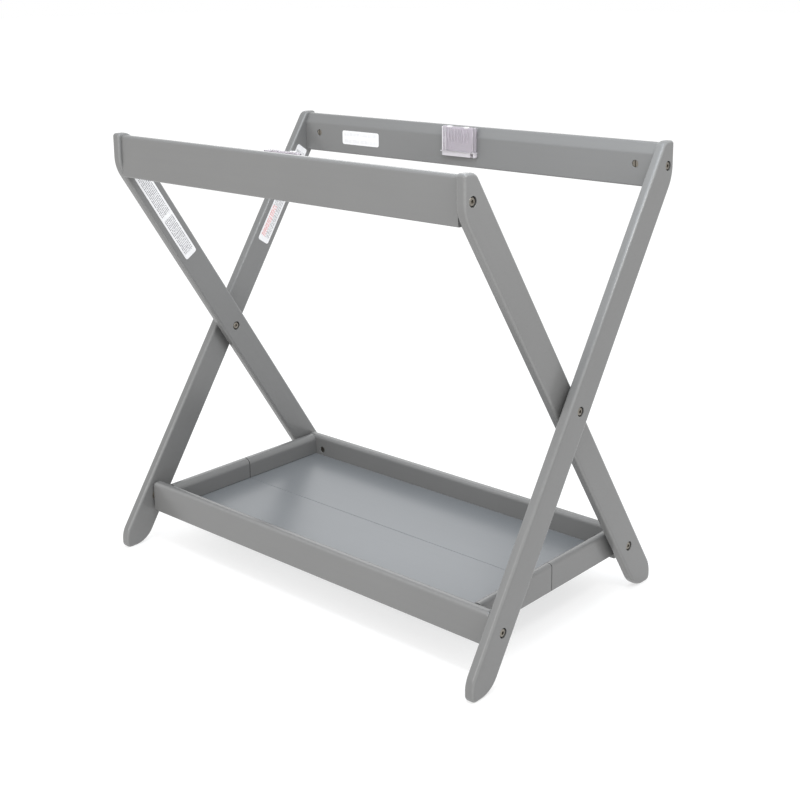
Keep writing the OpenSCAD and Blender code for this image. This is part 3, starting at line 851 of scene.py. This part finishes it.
def rail_label(node, material):
    """A sticker on the inner face of the rear rail."""
    low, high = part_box(node)
    corners = [
        (low.x, low.z, LABEL_R), (high.x, low.z, LABEL_R),
        (high.x, high.z, LABEL_R), (low.x, high.z, LABEL_R),
    ]
    start = Vector((low.x, low.y, low.z))
    along, across = Vector((high.x - low.x, 0, 0)), Vector((0, 0, high.z - low.z))
    return label(node, "y", corners, low.y, high.y, material, start, along, across)


INNER_STICKER = sticker("inner_sticker", 9, INNER_LABEL_L, 0.9)
OUTER_STICKER = sticker("outer_sticker", 8, OUTER_LABEL_L, 0.8, red=True)
leg_label("inner_leg_label", -1, INNER_LABEL_L, INNER_STICKER)
leg_label("outer_leg_label", 1, OUTER_LABEL_L, OUTER_STICKER)
rail_label("rail_label", sticker("rail_sticker", 2, RAIL_LABEL_L, 0.12))


# ------------------------------------------------------------------ studio


CAMERA_AT = Vector((1.3549, -1.4508, 0.9315))
CAMERA_TURN = (41.939, -12.505, -0.501)  # yaw, pitch and roll in degrees
LENS = 58.96
SHIFT = (-0.0043, -0.1625)
SENSOR = 36


def camera():
    """The camera, aimed by its yaw, pitch and roll. The lens shift moves the frame down."""
    data = bpy.data.cameras.new("camera")
    data.sensor_width = SENSOR
    data.lens = LENS
    data.shift_x, data.shift_y = SHIFT
    data.clip_start = 0.05
    obj = bpy.data.objects.new("camera", data)
    yaw, pitch, roll = (math.radians(a) for a in CAMERA_TURN)
    level = math.cos(pitch)
    ahead = Vector((-math.sin(yaw) * level, math.cos(yaw) * level, math.sin(pitch)))
    flat_right = Vector((math.cos(yaw), math.sin(yaw), 0))
    flat_up = flat_right.cross(ahead)
    right = math.cos(roll) * flat_right + math.sin(roll) * flat_up
    up = right.cross(ahead)
    turn = Matrix((right, up, -ahead)).transposed().to_4x4()
    obj.matrix_world = Matrix.Translation(CAMERA_AT) @ turn
    bpy.context.scene.collection.objects.link(obj)
    bpy.context.scene.camera = obj


camera()

AMBIENT = 1.0
FLOOR_HALF = 30
SOFTBOXES = [  # name, place, aim, size, watts, colour
    ("front", (0, -2.4, 1.2), (0, 0, 0.35), (1.5, 1.2), 20, (1.0, 0.985, 0.96)),
    ("key", (0.9, -0.3, 1.15), (0.38, -0.1, 0.6), (0.25, 0.25), 3.2, (1.0, 1.0, 1.0)),
    ("back_left", (-1.8, 1.8, 1.6), (0, 0, 0.35), (1.2, 1.2), 4.5, (1.0, 1.0, 1.0)),
    ("rear_rail_fill", (0.32, -0.25, 1.3), (0.2, 0.2, 0.6), (0.6, 0.5), 4.2, (0.84, 0.92, 1.0)),
    ("top", (0, 0, 2.3), (0, 0, 0), (1.0, 0.8), 8, (0.80, 0.90, 1.0)),
]


def softbox(name, at, aim, size, power, color):
    """A rectangular area light that points at aim."""
    data = bpy.data.lights.new(name, "AREA")
    data.shape = "RECTANGLE"
    data.size, data.size_y = size
    data.energy = power
    data.color = color
    obj = bpy.data.objects.new(name, data)
    obj.location = at
    obj.rotation_mode = "QUATERNION"
    obj.rotation_quaternion = (Vector(aim) - Vector(at)).to_track_quat("-Z", "Y")
    bpy.context.scene.collection.objects.link(obj)


def studio():
    """White surroundings, the softboxes and the floor."""
    world = bpy.data.worlds.new("studio")
    world.use_nodes = True
    background = world.node_tree.nodes["Background"]
    background.inputs["Color"].default_value = (1, 1, 1, 1)
    background.inputs["Strength"].default_value = AMBIENT
    bpy.context.scene.world = world
    for row in SOFTBOXES:
        softbox(*row)
    mesh = bpy.data.meshes.new("studio_floor")
    bm = bmesh.new()
    bmesh.ops.create_grid(bm, x_segments=8, y_segments=8, size=FLOOR_HALF)
    bm.to_mesh(mesh)
    bm.free()
    floor = bpy.data.objects.new("studio_floor", mesh)
    bpy.context.scene.collection.objects.link(floor)
    finish_with(floor, studio_floor("studio_floor"))


studio()
bpy.context.scene.view_settings.view_transform = "Standard"
